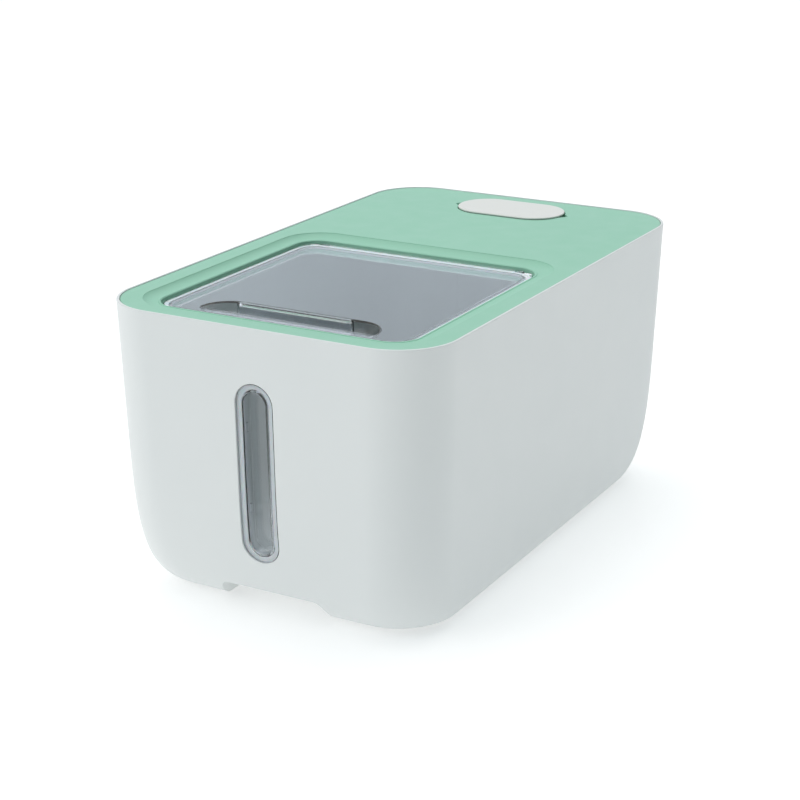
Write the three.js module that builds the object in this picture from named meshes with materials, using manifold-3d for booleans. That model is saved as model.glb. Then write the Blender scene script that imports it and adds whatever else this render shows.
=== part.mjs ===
// Pet food bin: a white tub with a drop-in mint cover, a clear flip lid, a pull-out
// desiccant basket and a clear window in the front wall.
// Millimetres, +Z up. The origin is the middle of the footprint at floor level.
// The front, with the window, faces -Y.

import * as THREE from 'three';
import { mergeVertices } from 'three/addons/utils/BufferGeometryUtils.js';
import Module from 'manifold-3d';

const wasm = await Module();
wasm.setup();

// ---------------------------------------------------------------- driving dimensions

const WIDTH = 245;
const LENGTH = 410;
const HEIGHT = 200;
const GAP = 0.3;
const SIDES = [-1, 1];

// Tub: plan corner radius, wall draft over the full height, and the lower rounding, a
// superellipse that draws the sides and the ends in by different amounts at the floor.
const CORNER_RADIUS = 41.5;
const DRAFT = 5.5;
const ROUND_HEIGHT = 120;
const ROUND_POWER = 3.8;
const ROUND_SIDE = 21.6;
const ROUND_END = 50.3;
const WALL = 2.8;
const FLOOR = 3;
const RIM_WALL = 2;
const CORNER_SEGMENTS = 9;
const ROUND_LEVELS = 12;

// Arch between the two runner feet, and the pads under them.
const ARCH_TOP = 17.5;
const ARCH_HALF_TOP = 32;
const ARCH_HALF_FLOOR = 47;
const PAD_RADIUS = 9;
const PAD_X = 71;
const PAD_Y = 118;
const PAD_PROUD = 0.8;
const PAD_SUNK = 1.2;

// Ledge inside the rim that carries the cover, and the stiffening ribs of the rear wall.
const LEDGE_TOP = 196.7;
const LEDGE_BOTTOM = 192.5;
const LEDGE_TAPER = 188.5;
const LEDGE_INSET = 6.1;
const RIB_POSITIONS = [-65, -24, 24, 65];
const RIB_HALF = 0.8;
const RIB_PROUD = 1.1;
const RIB_LOW = 40;
const RIB_TOP = 184.5;

// Front window.
const WINDOW_LOW = 41.2;
const WINDOW_HIGH = 163.4;
const WINDOW_HALF = 13.9;
const WINDOW_WALL_HALF = 9.7;
const WINDOW_WALL = 1.6;
const WINDOW_DEPTH = 10.3;
const REBATE_DEPTH = 3.5;
const BOSS_DEPTH = 5.4;
const BOSS_WIDTH = 2.6;
const LENS_SUNK = 0.3;
const LENS_FLANGE = 1.8;
const WINDOW_SEAL_DEPTH = 2.4;
const HOOK_HEIGHTS = [76.5, 132];
const HOOK_HALF = 3;
const HOOK_REACH = 1.5;
const HOOK_THICKNESS = 1.7;

// Cover.
const COVER_TOP = 199.5;
const COVER_PLATE = 2.5;
const COVER_GAP = 0.4;
const SKIRT_BOTTOM = 186;
const SKIRT_WALL = 2.6;
const SKIRT_INSET = 7.1;
const SEAL_LOW = 193.4;
const SEAL_HIGH = 195.8;
const SEAL_GROOVE = 1.2;

// Recess in the cover, its floor, and the neck and ledge that the lid closes on.
const RECESS_EDGE = { half: 106, front: -190, back: 32.5, radius: 29 };
const COVE_WIDTH = 9;
const COVE_STEPS = 6;
const RECESS_FLOOR = 196.6;
const NECK = { half: 94.6, front: -178.6, back: 17.8, radius: 17.6 };
const MOUTH = { half: 90, front: -174, back: 9.6, radius: 13 };
const NECK_LEDGE_TOP = 190.9;
const NECK_BOTTOM = 187.6;
const NECK_WALL = 2.4;
const TRAY_THICKNESS = 2.5;
const BEAD_TOP = 197.1;
const BEAD_OUTER = 1.9;
const BEAD_INNER = 0.3;
const JOIN = 0.5;

// Ribs under the rear of the cover.
const CROSS_RIBS = [52, 82, 112];
const CROSS_RIB_HALF = 114;
const COVER_RIB_HALF = 0.9;
const COVER_RIB_BOTTOM = 191.5;
const LONG_RIB_FRONT = 30;

// Clear lid, its finger dish and grip bar, and its hinge.
const LID_TOP = 195.2;
const LID_PLATE = 1.8;
const LID_EDGE = { half: 93.2, front: -177.2, back: 16.6, radius: 16.2 };
const LID_SKIRT = { half: 89.3, front: -173.3, back: 8.9, radius: 12.3 };
const LID_SKIRT_BOTTOM = 188.4;
const DISH_TOP = { half: 65, front: -166, back: -143, radius: 19.5, frontRadius: 3 };
const DISH_FLOOR = { half: 58, front: -166, back: -145, radius: 17.5, frontRadius: 3 };
const DISH_Z = 187.5;
const BAR = { half: 43, front: -157, back: -150, radius: 3.4 };
const BAR_TOP = 198.5;
const GASKET = { half: 92.8, front: -176.8, back: 15.4, radius: 17 };
const GASKET_HOLE = { half: 90.1, front: -174.1, back: 10.3, radius: 13.1 };
const HINGE_Y = 15;
const HINGE_Z = 193.4;
const PIN_RADIUS = 1;
const PIN_FROM = 76.5;
const PIN_TO = 90.5;
const LID_BOSS_FROM = 75;
const NECK_BOSS_FROM = 84;
const NOTCH_FROM = 81.2;
const NOTCH_FRONT = 10.6;
const GASKET_NOTCH_FROM = 74.7;
const GASKET_NOTCH_FRONT = 13;
const LID_WALL = 1.8;

// Pull-out desiccant cap and basket.
const CAP_Y = 163;
const CAP_HALF_X = 43;
const CAP_HALF_Y = 24.4;
const CAP_TOP = 200.8;
const CAP_BOTTOM = 199.6;
const CAP_RECESS_TOP = 200.2;
const COLLAR_TOP = 199.9;
const POCKET_FLOOR = 195.6;
const POCKET_GAP = 0.4;
const POCKET_WALL = 6.5;
const POCKET_WALL_END = 2.6;
const NOTCH_TIP = 47.8;
const BASKET_HALF_X = 36;
const BASKET_HALF_Y = 15.5;
const BASKET_BOTTOM = 170;
const BASKET_WALL = 1.5;
const FLANGE_LOW = 197.4;
const FLANGE_HIGH = 198.6;
const FLANGE_WIDTH = 3.5;
const SLOT_COUNT = 7;
const SLOT_PITCH = 6.4;
const SLOT_HALF = 1.4;

// ---------------------------------------------------------------- materials

function plastic(color, roughness) {
  return new THREE.MeshStandardMaterial({ color, roughness, metalness: 0 });
}

function clearPlastic(color, opacity) {
  return new THREE.MeshStandardMaterial({ color, roughness: 0.08, transparent: true, opacity });
}

const shellWhite = plastic(0xe2e7e7, 0.45);
const mint = plastic(0xa3d1c0, 0.5);
const clear = clearPlastic(0xcfdbe0, 0.35);
const silicone = plastic(0xe4e8e4, 0.65);
const capWhite = plastic(0xe4e7e3, 0.5);
const basketWhite = plastic(0xdfe3e0, 0.55);
const padGrey = plastic(0xa9adab, 0.85);
const steel = new THREE.MeshStandardMaterial({ color: 0xb8bcc0, roughness: 0.3, metalness: 1 });

// ---------------------------------------------------------------- solids

function toSolid(geometry) {
  const bare = geometry.clone();
  bare.deleteAttribute('normal');
  bare.deleteAttribute('uv');
  const merged = mergeVertices(bare, 1e-4);
  const vertProperties = new Float32Array(merged.getAttribute('position').array);
  const triVerts = new Uint32Array(merged.getIndex().array);
  return new wasm.Manifold(new wasm.Mesh({ numProp: 3, vertProperties, triVerts }));
}

function toGeometry(solid) {
  const mesh = solid.getMesh();
  const geometry = new THREE.BufferGeometry();
  geometry.setAttribute('position', new THREE.BufferAttribute(new Float32Array(mesh.vertProperties), 3));
  geometry.setIndex(new THREE.BufferAttribute(new Uint32Array(mesh.triVerts), 1));
  geometry.computeVertexNormals();
  return geometry;
}

function union(solids) {
  return solids.reduce((whole, piece) => whole.add(piece));
}

function cut(solid, cutters) {
  return cutters.reduce((rest, cutter) => rest.subtract(cutter), solid);
}

// Points of a rectangle with round corners, counter-clockwise. The two front corners may
// have a radius of their own.
function outline({ half, front, back, radius, frontRadius = radius }) {
  const corners = [
    [half - frontRadius, front + frontRadius, frontRadius, -90],
    [half - radius, back - radius, radius, 0],
    [radius - half, back - radius, radius, 90],
    [frontRadius - half, front + frontRadius, frontRadius, 180],
  ];
  const points = [];
  for (const [x, y, r, start] of corners) {
    for (let i = 0; i <= CORNER_SEGMENTS; i += 1) {
      const angle = THREE.MathUtils.degToRad(start + (90 * i) / CORNER_SEGMENTS);
      points.push(new THREE.Vector2(x + r * Math.cos(angle), y + r * Math.sin(angle)));
    }
  }
  return points;
}

// The same outline drawn in by a distance all round.
function inset(form, distance) {
  return {
    half: form.half - distance,
    front: form.front + distance,
    back: form.back - distance,
    radius: Math.max(form.radius - distance, 0.6),
    frontRadius: Math.max((form.frontRadius ?? form.radius) - distance, 0.6),
  };
}

function prism(points, low, high) {
  const shape = new THREE.Shape(points);
  const geometry = new THREE.ExtrudeGeometry(shape, { depth: high - low, bevelEnabled: false });
  geometry.translate(0, 0, low);
  return toSolid(geometry);
}

function ring(outer, inner, low, high) {
  return prism(outline(outer), low, high).subtract(prism(outline(inner), low - 1, high + 1));
}

// A solid through a stack of outlines that all have the same number of points.
function loft(levels) {
  const rings = levels.map((level) => outline(level));
  const nearest = (x, y) => {
    const distances = rings[0].map((point) => Math.hypot(point.x - x, point.y - y));
    return distances.indexOf(Math.min(...distances));
  };
  const steps = levels.length - 1;
  const shape = new THREE.Shape(rings[0]);
  const geometry = new THREE.ExtrudeGeometry(shape, { depth: steps, steps, bevelEnabled: false });
  const position = geometry.getAttribute('position');
  for (let i = 0; i < position.count; i += 1) {
    const level = Math.round(position.getZ(i));
    const point = rings[level][nearest(position.getX(i), position.getY(i))];
    position.setXYZ(i, point.x, point.y, levels[level].z);
  }
  return toSolid(geometry);
}

function box(x0, x1, y0, y1, z0, z1) {
  const geometry = new THREE.BoxGeometry(x1 - x0, y1 - y0, z1 - z0);
  geometry.translate((x0 + x1) / 2, (y0 + y1) / 2, (z0 + z1) / 2);
  return toSolid(geometry);
}

// A prism along Y, from points given as (x, z).
function prismAlongY(points, front, back) {
  const depth = back - front;
  const geometry = new THREE.ExtrudeGeometry(new THREE.Shape(points), { depth, bevelEnabled: false });
  geometry.rotateX(Math.PI / 2);
  geometry.translate(0, back, 0);
  return toSolid(geometry);
}

function cylinderAlongX(radius, x0, x1, y, z, segments) {
  const geometry = new THREE.CylinderGeometry(radius, radius, x1 - x0, segments);
  geometry.rotateZ(Math.PI / 2);
  geometry.translate((x0 + x1) / 2, y, z);
  return toSolid(geometry);
}

// ---------------------------------------------------------------- form of the tub

// Plan outline of the tub at a height, drawn in by a distance.
function tubLevel(z, pull, drawnIn) {
  const draft = DRAFT * (1 - z / HEIGHT);
  return {
    z,
    half: WIDTH / 2 - draft - ROUND_SIDE * pull - drawnIn,
    front: -(LENGTH / 2 - draft - ROUND_END * pull - drawnIn),
    back: LENGTH / 2 - draft - ROUND_END * pull - drawnIn,
    radius: CORNER_RADIUS - drawnIn,
  };
}

// The outer form of the tub, drawn in by a distance, from its lowest level up to `top`.
function tubForm(drawnIn, bottom, top) {
  const levels = [];
  for (let i = ROUND_LEVELS; i >= 0; i -= 1) {
    const angle = (Math.PI / 2) * (i / ROUND_LEVELS);
    const s = Math.sin(angle) ** (2 / ROUND_POWER);
    const pull = 1 - Math.max(Math.cos(angle), 0) ** (2 / ROUND_POWER);
    levels.push(tubLevel(bottom + (ROUND_HEIGHT - bottom) * (1 - s), pull, drawnIn));
  }
  levels.push(tubLevel(top, 0, drawnIn));
  return loft(levels);
}

// The layer of the tub's wall between two depths under its outer face.
function wallLayer(outerDepth, innerDepth) {
  return tubForm(outerDepth, 0, HEIGHT).subtract(tubForm(innerDepth, 0, HEIGHT + 1));
}

// Cross-section of the arch, with S-shaped flanks, widened by a distance.
function archProfile(widen) {
  const top = ARCH_TOP + widen;
  const inner = ARCH_HALF_TOP + widen;
  const outer = ARCH_HALF_FLOOR + widen;
  const flank = new THREE.CubicBezierCurve(
    new THREE.Vector2(inner, top),
    new THREE.Vector2(inner + (outer - inner) * 0.75, top),
    new THREE.Vector2(inner + (outer - inner) * 0.35, 0),
    new THREE.Vector2(outer, 0),
  ).getPoints(8);
  const right = [...flank, new THREE.Vector2(outer, -5)];
  const left = right.map((point) => new THREE.Vector2(-point.x, point.y)).reverse();
  return [...left, ...right].reverse();
}

// A window-shaped outline: straight sides and half-round ends, given as (x, z).
function windowOutline(half) {
  const spread = WINDOW_HALF - half;
  return outline({
    half,
    front: WINDOW_LOW + spread - GAP,
    back: WINDOW_HIGH - spread + GAP,
    radius: half - 0.01,
  });
}

function windowPrism(half) {
  return prismAlongY(windowOutline(half), -LENGTH / 2 - 5, -LENGTH / 2 + 30);
}

// ---------------------------------------------------------------- tub

function padSpots() {
  return [[-PAD_X, -PAD_Y], [PAD_X, -PAD_Y], [-PAD_X, PAD_Y], [PAD_X, PAD_Y]];
}

function disc(radius, x, y, low, high) {
  const geometry = new THREE.CylinderGeometry(radius, radius, high - low, 32);
  geometry.rotateX(Math.PI / 2);
  geometry.translate(x, y, (low + high) / 2);
  return toSolid(geometry);
}

function rim(z, drawnIn) {
  return tubLevel(z, 0, drawnIn);
}

function makeShell() {
  const arch = prismAlongY(archProfile(0), -LENGTH, LENGTH);
  const archCover = prismAlongY(archProfile(WALL), -LENGTH, LENGTH);
  const outer = tubForm(0, 0, HEIGHT).subtract(arch);
  const cavity = tubForm(WALL, FLOOR + PAD_PROUD, HEIGHT + 1).subtract(archCover);
  let shell = outer.subtract(cavity);

  const ledge = ring(rim(LEDGE_TOP, 1), rim(LEDGE_TOP, LEDGE_INSET), LEDGE_BOTTOM, LEDGE_TOP);
  const taperHole = loft([
    { ...rim(LEDGE_BOTTOM, WALL - 0.2), z: LEDGE_TAPER },
    { ...rim(LEDGE_BOTTOM, LEDGE_INSET), z: LEDGE_BOTTOM },
  ]);
  const taper = prism(outline(rim(LEDGE_BOTTOM, 1)), LEDGE_TAPER, LEDGE_BOTTOM).subtract(taperHole);
  shell = union([shell, ledge, taper]);

  const ribs = RIB_POSITIONS.map((x) => box(x - RIB_HALF, x + RIB_HALF, 0, LENGTH / 2, RIB_LOW, RIB_TOP));
  const ribLayer = wallLayer(WALL / 2, WALL + RIB_PROUD);
  shell = shell.add(union(ribs).intersect(ribLayer));

  const boss = windowPrism(WINDOW_HALF + BOSS_WIDTH).intersect(wallLayer(1, BOSS_DEPTH));
  shell = shell.add(boss);
  const rebate = windowPrism(WINDOW_HALF).subtract(tubForm(REBATE_DEPTH, 0, HEIGHT));
  const through = windowPrism(WINDOW_WALL_HALF + 0.5);

  const rimRebate = prism(outline(rim(HEIGHT, RIM_WALL)), LEDGE_TOP, HEIGHT + 1);
  const footPockets = padSpots().map(([x, y]) => disc(PAD_RADIUS + GAP, x, y, -1, PAD_PROUD + PAD_SUNK));
  const soleCut = box(-WIDTH, WIDTH, -LENGTH, LENGTH, -10, PAD_PROUD);
  return cut(shell, [rebate, through, rimRebate, soleCut, ...footPockets]);
}

// Front part of the space that a window hook is cut from, for a half width and two heights.
function hookBar(half, low, high) {
  return box(-half, half, -LENGTH / 2 - 5, -LENGTH / 2 + 30, low, high);
}

function makeWindowLens() {
  const flangeBack = LENS_SUNK + LENS_FLANGE;
  const flange = windowPrism(WINDOW_HALF - GAP).intersect(wallLayer(LENS_SUNK, flangeBack));
  const tray = windowPrism(WINDOW_WALL_HALF).intersect(wallLayer(LENS_SUNK, WINDOW_DEPTH));
  const paneFace = tubForm(WINDOW_DEPTH - LENS_FLANGE, 0, HEIGHT);
  const hollow = windowPrism(WINDOW_WALL_HALF - WINDOW_WALL).subtract(paneFace);
  const reach = WINDOW_WALL_HALF + HOOK_REACH;
  const span = WINDOW_HALF - reach;
  const bars = HOOK_HEIGHTS.map((z) => hookBar(reach, z - HOOK_HALF, z + HOOK_HALF));
  bars.push(hookBar(HOOK_HALF, WINDOW_LOW + span, WINDOW_HIGH - span));
  const hookFace = BOSS_DEPTH + GAP;
  const hooks = union(bars).intersect(wallLayer(hookFace, hookFace + HOOK_THICKNESS));
  return union([flange, tray, hooks]).subtract(hollow);
}

function makeWindowSeal() {
  const layer = wallLayer(WINDOW_SEAL_DEPTH, REBATE_DEPTH - GAP);
  const solid = windowPrism(WINDOW_HALF - GAP).subtract(windowPrism(WINDOW_WALL_HALF + GAP));
  return solid.intersect(layer);
}

function makeFootPad(x, y) {
  return disc(PAD_RADIUS, x, y, 0, PAD_PROUD + PAD_SUNK - GAP);
}

// ---------------------------------------------------------------- cover

function stadium(halfX, halfY, middleY) {
  return { half: halfX, front: middleY - halfY, back: middleY + halfY, radius: halfY - 0.01 };
}

// The two outlines of the white cap's pocket: the cap's own, and a long lens shape whose
// points reach past the cap's ends as finger notches.
function pocketOutlines() {
  const up = CAP_HALF_Y - 0.6;
  const radius = (NOTCH_TIP ** 2 + up ** 2) / (2 * up);
  const sweep = Math.asin(NOTCH_TIP / radius);
  const steps = 16;
  const points = [];
  for (const side of [1, -1]) {
    for (let i = 0; i < steps; i += 1) {
      const angle = sweep - (2 * sweep * i) / steps;
      const height = radius * Math.cos(angle) - (radius - up);
      points.push(new THREE.Vector2(side * radius * Math.sin(angle), CAP_Y + side * height));
    }
  }
  return [outline(stadium(CAP_HALF_X + POCKET_GAP, CAP_HALF_Y + POCKET_GAP, CAP_Y)), points];
}

// Everything of the cover before its recess, mouth and pocket are cut.
function coverBlank(plateForm, skirtForm) {
  const plateLow = COVER_TOP - COVER_PLATE;
  const joinTop = plateLow + JOIN;
  const plate = prism(outline(plateForm), plateLow, COVER_TOP);
  const skirt = ring(skirtForm, inset(skirtForm, SKIRT_WALL), SKIRT_BOTTOM, joinTop);
  const tray = prism(outline(inset(RECESS_EDGE, -NECK_WALL)), RECESS_FLOOR - TRAY_THICKNESS, joinTop);
  const neck = prism(outline(inset(NECK, -NECK_WALL)), NECK_BOTTOM, RECESS_FLOOR - 1);
  const pocketForm = stadium(CAP_HALF_X + POCKET_WALL, CAP_HALF_Y + POCKET_WALL_END, CAP_Y);
  const pocketTray = prism(outline(pocketForm), POCKET_FLOOR - TRAY_THICKNESS, joinTop);
  const wellForm = stadium(BASKET_HALF_X + SKIRT_WALL, BASKET_HALF_Y + SKIRT_WALL, CAP_Y);
  const well = prism(outline(wellForm), SKIRT_BOTTOM + 2, POCKET_FLOOR - 2);
  const ribs = CROSS_RIBS.map((y) => box(
    -CROSS_RIB_HALF, CROSS_RIB_HALF,
    y - COVER_RIB_HALF, y + COVER_RIB_HALF,
    COVER_RIB_BOTTOM, joinTop,
  ));
  ribs.push(box(
    -COVER_RIB_HALF, COVER_RIB_HALF,
    LONG_RIB_FRONT, CAP_Y - CAP_HALF_Y,
    COVER_RIB_BOTTOM, joinTop,
  ));
  return union([plate, skirt, tray, neck, pocketTray, well, ...ribs]);
}

// Outlines of the recess, whose sides sweep down to its floor in a hollow curve.
function coveLevels() {
  const levels = [];
  for (let i = 0; i <= COVE_STEPS; i += 1) {
    const t = i / COVE_STEPS;
    const z = RECESS_FLOOR + (COVER_TOP - RECESS_FLOOR) * t ** 2.2;
    levels.push({ ...inset(RECESS_EDGE, COVE_WIDTH * (1 - t)), z });
  }
  levels.push({ ...RECESS_EDGE, z: COVER_TOP + 0.1 });
  return levels;
}

function makeCover() {
  const skirtForm = rim(HEIGHT, SKIRT_INSET);
  const blank = coverBlank(rim(HEIGHT, RIM_WALL + COVER_GAP), skirtForm);
  const groove = ring(
    inset(skirtForm, -1), inset(skirtForm, SEAL_GROOVE),
    SEAL_LOW - GAP, SEAL_HIGH + GAP,
  );
  const recess = loft(coveLevels());
  const bead = ring(inset(NECK, -BEAD_OUTER), inset(NECK, -BEAD_INNER), RECESS_FLOOR - 1, BEAD_TOP);
  const neckHole = prism(outline(NECK), NECK_LEDGE_TOP, COVER_TOP + 1);
  const mouth = prism(outline(MOUTH), NECK_BOTTOM - 5, COVER_TOP);
  const pinBosses = SIDES.map((side) => pinBoss(side));
  const pinHoles = SIDES.map((side) => hingeBar(side, PIN_RADIUS + 0.25, -1, 0.5));
  const pockets = pocketOutlines().map((points) => prism(points, POCKET_FLOOR, COVER_TOP + 1));
  const basketForm = stadium(BASKET_HALF_X + JOIN, BASKET_HALF_Y + JOIN, CAP_Y);
  const basketHole = prism(outline(basketForm), BASKET_BOTTOM, COVER_TOP);

  const open = cut(blank, [recess, groove]);
  const beaded = union([open, bead, ...pinBosses]);
  return cut(beaded, [neckHole, mouth, ...pinHoles, ...pockets, basketHole]);
}

// A round bar on the lid's hinge axis, lengthened at its inner and outer end.
function hingeBar(side, radius, innerExtra, outerExtra) {
  const inner = side * (PIN_FROM - innerExtra);
  const outer = side * (PIN_TO + outerExtra);
  return cylinderAlongX(radius, Math.min(inner, outer), Math.max(inner, outer), HINGE_Y, HINGE_Z, 24);
}

// Thickening of the cover's neck that carries a hinge pin.
function pinBoss(side) {
  const [x0, x1] = side > 0 ? [NECK_BOSS_FROM, PIN_TO + 2.5] : [-PIN_TO - 2.5, -NECK_BOSS_FROM];
  return box(x0, x1, HINGE_Y - 3, HINGE_Y + 3, NECK_BOTTOM + 1.4, RECESS_FLOOR - 0.6);
}

function makeCoverSeal() {
  const wallForm = rim(HEIGHT, LEDGE_INSET);
  const skirtForm = rim(HEIGHT, SKIRT_INSET);
  return ring(inset(wallForm, GAP), inset(skirtForm, SEAL_GROOVE - GAP), SEAL_LOW, SEAL_HIGH);
}

// ---------------------------------------------------------------- clear lid

function makeClearLid() {
  const under = LID_TOP - LID_PLATE;
  const plate = prism(outline(LID_EDGE), under, LID_TOP);
  const skirt = ring(LID_SKIRT, inset(LID_SKIRT, LID_WALL), LID_SKIRT_BOTTOM, under + JOIN);
  const dishOuter = loft([
    { ...inset(DISH_FLOOR, -LID_WALL), z: DISH_Z - LID_WALL },
    { ...inset(DISH_TOP, -LID_WALL), z: LID_TOP - JOIN },
  ]);
  const dishInner = loft([
    { ...DISH_FLOOR, z: DISH_Z },
    { ...DISH_TOP, z: LID_TOP + 0.01 },
  ]);
  const bar = loft([
    { ...inset(BAR, -0.3), z: DISH_Z - 1 },
    { ...BAR, z: BAR_TOP - 0.8 },
    { ...inset(BAR, 0.8), z: BAR_TOP },
  ]);
  const barHollow = loft([
    { ...inset(BAR, 1.4), z: DISH_Z - 5 },
    { ...inset(BAR, LID_WALL), z: BAR_TOP - 1.7 },
  ]);
  const bosses = SIDES.map((side) => lidBoss(side));
  const notches = SIDES.map((side) => cornerBox(side, NOTCH_FROM, NOTCH_FRONT));
  const pinHoles = SIDES.map((side) => hingeBar(side, PIN_RADIUS + 0.05, GAP, 4));
  const body = union([plate, skirt, dishOuter, ...bosses]).subtract(dishInner);
  return cut(body.add(bar), [barHollow, ...pinHoles, ...notches]);
}

// Corner boss of the lid that holds a hinge pin.
function lidBoss(side) {
  const [x0, x1] = side > 0 ? [LID_BOSS_FROM, NOTCH_FROM] : [-NOTCH_FROM, -LID_BOSS_FROM];
  return box(x0, x1, HINGE_Y - 1.7, HINGE_Y + 1.6, HINGE_Z - LID_WALL, LID_TOP - JOIN);
}

// Box over a rear corner of the lid, outwards and rearwards of a point. The lid's own corner is
// cut by one so that it swings past the neck.
function cornerBox(side, from, front) {
  const [x0, x1] = side > 0 ? [from, WIDTH] : [-WIDTH, -from];
  return box(x0, x1, front, HINGE_Y + 10, DISH_Z, HEIGHT);
}

// A ring under the plate's edge, drawn in at the rear corners to pass in front of the pins.
function makeLidGasket() {
  const low = NECK_LEDGE_TOP + GAP;
  const high = LID_TOP - LID_PLATE - GAP;
  const notches = SIDES.map((side) => cornerBox(side, GASKET_NOTCH_FROM, GASKET_NOTCH_FRONT));
  return cut(ring(GASKET, GASKET_HOLE, low, high), notches);
}

// ---------------------------------------------------------------- desiccant parts

// A flat pad over the pocket. A shallow recess in its underside grips the basket's collar.
function makeCap() {
  const edge = stadium(CAP_HALF_X, CAP_HALF_Y, CAP_Y);
  const pad = loft([
    { ...edge, z: CAP_BOTTOM },
    { ...edge, z: CAP_TOP - 0.6 },
    { ...inset(edge, 0.25), z: CAP_TOP - 0.2 },
    { ...inset(edge, 0.8), z: CAP_TOP },
  ]);
  const recessForm = stadium(BASKET_HALF_X + GAP, BASKET_HALF_Y + GAP, CAP_Y);
  return pad.subtract(prism(outline(recessForm), CAP_BOTTOM - 1, CAP_RECESS_TOP));
}

function makeBasket() {
  const outer = stadium(BASKET_HALF_X, BASKET_HALF_Y, CAP_Y);
  const flange = prism(outline(inset(outer, -FLANGE_WIDTH)), FLANGE_LOW, FLANGE_HIGH);
  const body = prism(outline(outer), BASKET_BOTTOM, COLLAR_TOP);
  const hollowForm = inset(outer, BASKET_WALL);
  const hollow = prism(outline(hollowForm), BASKET_BOTTOM + BASKET_WALL, HEIGHT);
  const slots = [];
  for (let i = 0; i < SLOT_COUNT; i += 1) {
    const x = (i - (SLOT_COUNT - 1) / 2) * SLOT_PITCH;
    const [x0, x1] = [x - SLOT_HALF, x + SLOT_HALF];
    slots.push(box(x0, x1, CAP_Y - 30, CAP_Y + 30, BASKET_BOTTOM + 4, BASKET_BOTTOM + 18));
    slots.push(box(x0, x1, CAP_Y - 9, CAP_Y + 9, BASKET_BOTTOM - 1, BASKET_BOTTOM + 3));
  }
  return cut(union([body, flange]), [hollow, ...slots]);
}

function makeBasketSeal() {
  const outer = stadium(BASKET_HALF_X + 3.3, BASKET_HALF_Y + 3.3, CAP_Y);
  return ring(outer, inset(outer, 2.7), POCKET_FLOOR + GAP, FLANGE_LOW - GAP);
}

function makeSachet() {
  const middle = stadium(31, 11.5, CAP_Y);
  return loft([
    { ...inset(middle, 5), z: BASKET_BOTTOM + 2 },
    { ...inset(middle, 1), z: BASKET_BOTTOM + 4.5 },
    { ...middle, z: BASKET_BOTTOM + 8 },
    { ...inset(middle, 1), z: BASKET_BOTTOM + 11.5 },
    { ...inset(middle, 5), z: BASKET_BOTTOM + 14 },
  ]);
}

// ---------------------------------------------------------------- assembly

const bin = new THREE.Group();

function place(name, solid, material) {
  const mesh = new THREE.Mesh(toGeometry(solid), material);
  mesh.name = name;
  bin.add(mesh);
}

place('bin_shell', makeShell(), shellWhite);
place('window_lens', makeWindowLens(), clear);
place('window_seal', makeWindowSeal(), silicone);
padSpots().forEach(([x, y], i) => place(`foot_pad_${i + 1}`, makeFootPad(x, y), padGrey));
place('cover', makeCover(), mint);
place('cover_seal', makeCoverSeal(), silicone);
place('clear_lid', makeClearLid(), clear);
place('lid_gasket', makeLidGasket(), silicone);
place('hinge_pin_left', hingeBar(-1, PIN_RADIUS, 0, 0), steel);
place('hinge_pin_right', hingeBar(1, PIN_RADIUS, 0, 0), steel);
place('desiccant_cap', makeCap(), capWhite);
place('desiccant_basket', makeBasket(), basketWhite);
place('basket_seal', makeBasketSeal(), silicone);
place('desiccant_sachet', makeSachet(), plastic(0xf1efe8, 0.9));

export default bin;
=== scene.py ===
"""Pet food bin: the looks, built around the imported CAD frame.

Lengths are in millimetres until a mesh is made, which turns them into metres. The front of the
bin, with the window, faces -Y. Every piece is a stack of rounded outlines, joined or cut.
"""

import math

import bmesh
import bpy
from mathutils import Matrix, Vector


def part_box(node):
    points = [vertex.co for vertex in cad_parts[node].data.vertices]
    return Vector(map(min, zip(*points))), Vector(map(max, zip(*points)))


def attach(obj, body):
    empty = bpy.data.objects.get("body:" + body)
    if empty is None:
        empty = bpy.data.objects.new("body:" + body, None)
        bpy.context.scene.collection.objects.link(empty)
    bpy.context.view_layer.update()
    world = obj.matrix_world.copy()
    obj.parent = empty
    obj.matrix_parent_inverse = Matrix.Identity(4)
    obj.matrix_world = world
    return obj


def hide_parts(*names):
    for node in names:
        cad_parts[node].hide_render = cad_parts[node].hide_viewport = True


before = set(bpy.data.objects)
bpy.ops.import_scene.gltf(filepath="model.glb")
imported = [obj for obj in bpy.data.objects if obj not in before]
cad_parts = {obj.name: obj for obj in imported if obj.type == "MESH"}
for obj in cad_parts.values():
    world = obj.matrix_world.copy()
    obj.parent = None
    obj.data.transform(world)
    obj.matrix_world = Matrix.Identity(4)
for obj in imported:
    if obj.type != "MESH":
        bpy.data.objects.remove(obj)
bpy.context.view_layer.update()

MM = 0.001


def cad_mm(node):
    """Lowest and highest corner of a CAD node, in millimetres."""
    low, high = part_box(node)
    return low / MM, high / MM


# ------------------------------------------------------------------ sizes

TUB_LOW, TUB_HIGH = cad_mm("bin_shell")
LID_LOW, LID_HIGH = cad_mm("clear_lid")
COVER_LOW, COVER_HIGH = cad_mm("cover")
GASKET_LOW, GASKET_HIGH = cad_mm("lid_gasket")
CAP_LOW, CAP_HIGH = cad_mm("desiccant_cap")
BASKET_LOW, BASKET_HIGH = cad_mm("desiccant_basket")
LENS_LOW, LENS_HIGH = cad_mm("window_lens")

HALF_WIDTH = TUB_HIGH.x
HALF_LENGTH = TUB_HIGH.y
HEIGHT = TUB_HIGH.z
SOLE = TUB_LOW.z
CORNER_RADIUS = 41.5
DRAFT = 5.5
ROUND_HEIGHT = 120
ROUND_POWER = 3.8
ROUND_SIDE = 21.6
ROUND_END = 50.3
WALL = 2.8
FLOOR = 3
GAP = 0.3

CORNER_STEPS = 18
EDGE_STEPS = 5

RIM_WALL = 2.0
RIM_ROUND = 0.7
LEDGE_TOP = 196.7
LEDGE_BOTTOM = 192.5
LEDGE_TAPER = 188.5
LEDGE_INSET = 6.1
RIB_POSITIONS = (-65, -24, 24, 65)

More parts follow.
